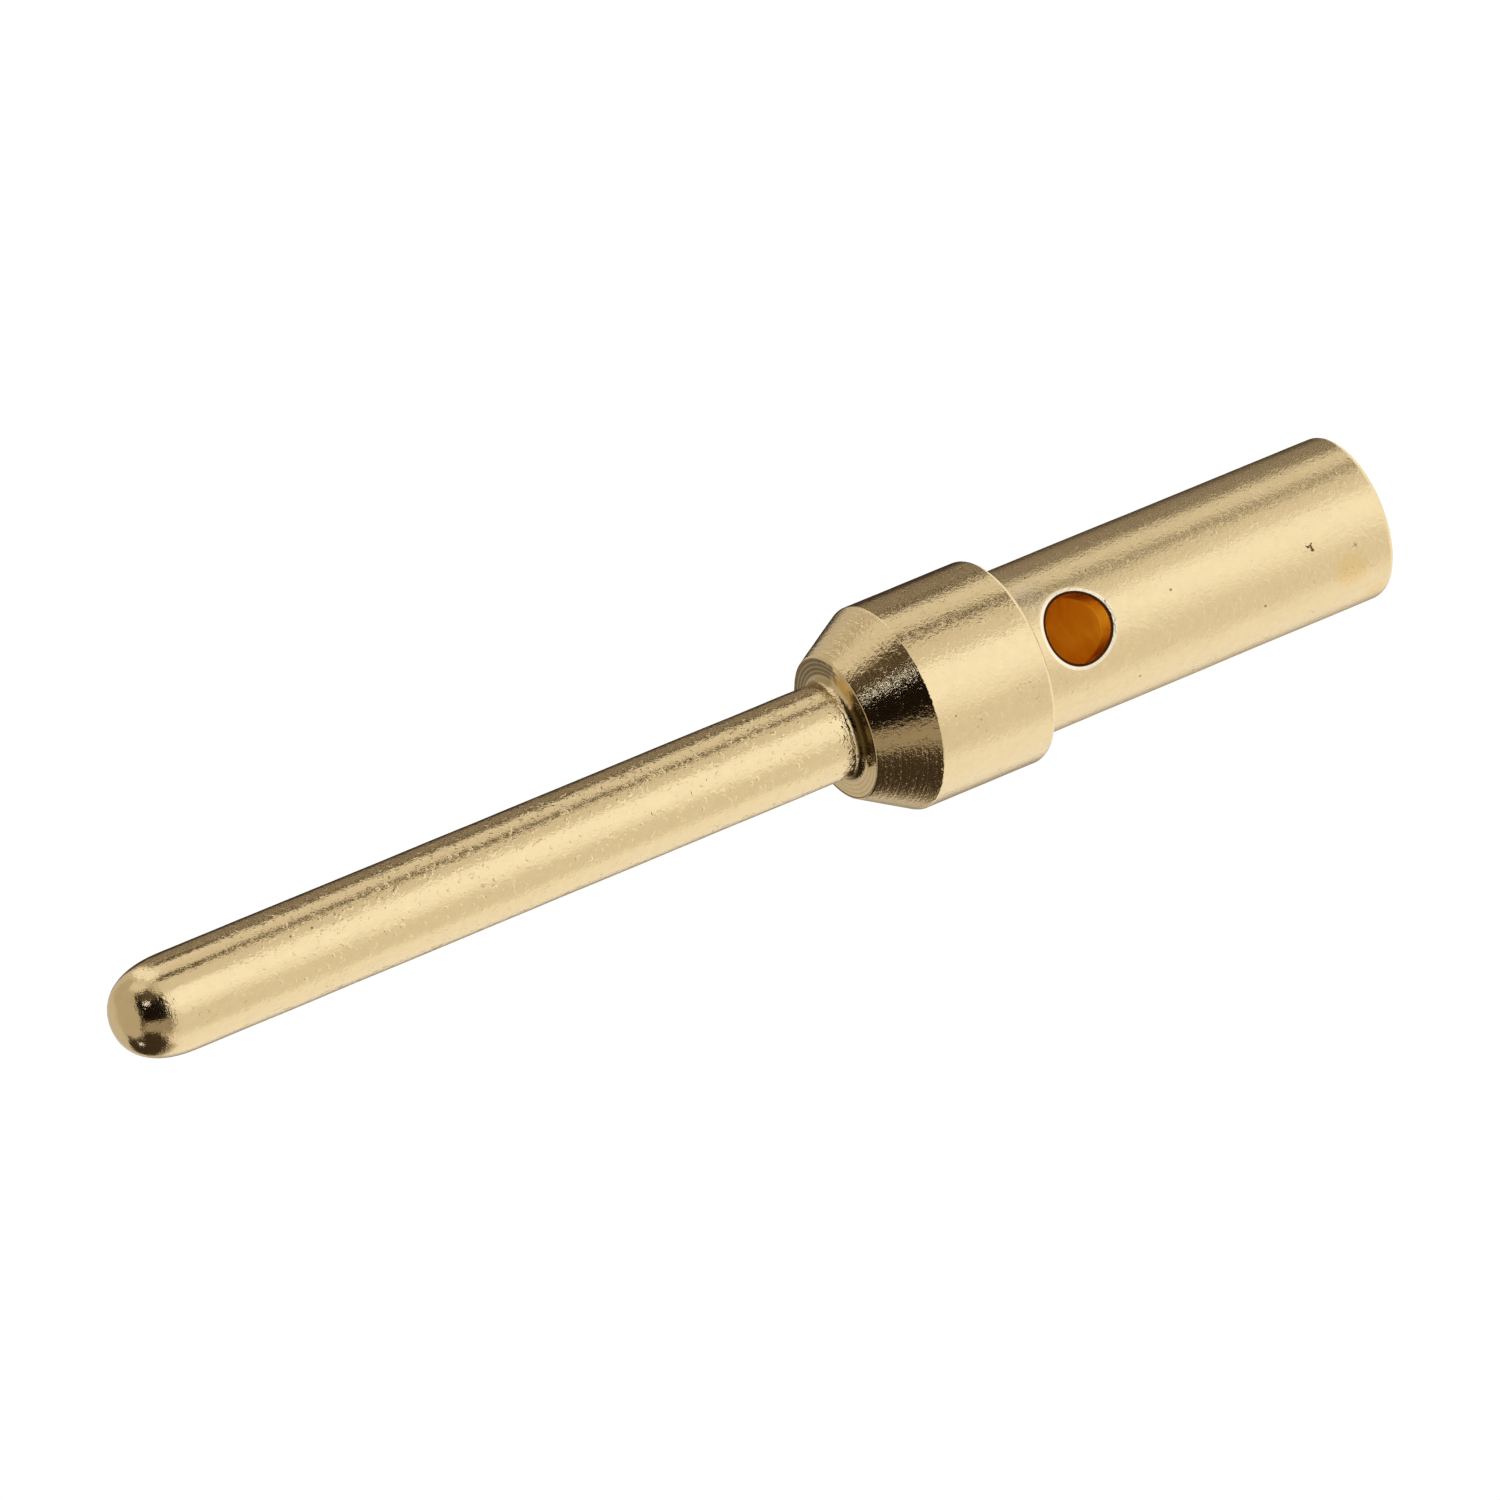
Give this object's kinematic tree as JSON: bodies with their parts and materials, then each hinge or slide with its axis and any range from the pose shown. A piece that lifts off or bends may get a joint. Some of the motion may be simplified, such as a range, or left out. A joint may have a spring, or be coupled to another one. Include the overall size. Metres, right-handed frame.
{
  "type": "crimp pin contact",
  "caption": "Turned, gold-plated crimp pin contact: round-nosed pin, conical shoulder, collar and a crimp barrel with a blind wire bore and an inspection hole.",
  "frame": {"origin": "centre of the flat end face of the crimp barrel, on which the contact stands", "axes": "+Z along the contact's axis from the crimp end to the tip of the pin; the inspection hole looks along -Y"},
  "size_m": [0.0022, 0.0022, 0.0143],
  "materials": {
    "gold_plating": "satin gold plating on copper alloy, slightly pitted"
  },
  "bodies": {
    "root": {"pin_contact": "gold_plating"}
  },
  "joints": []
}
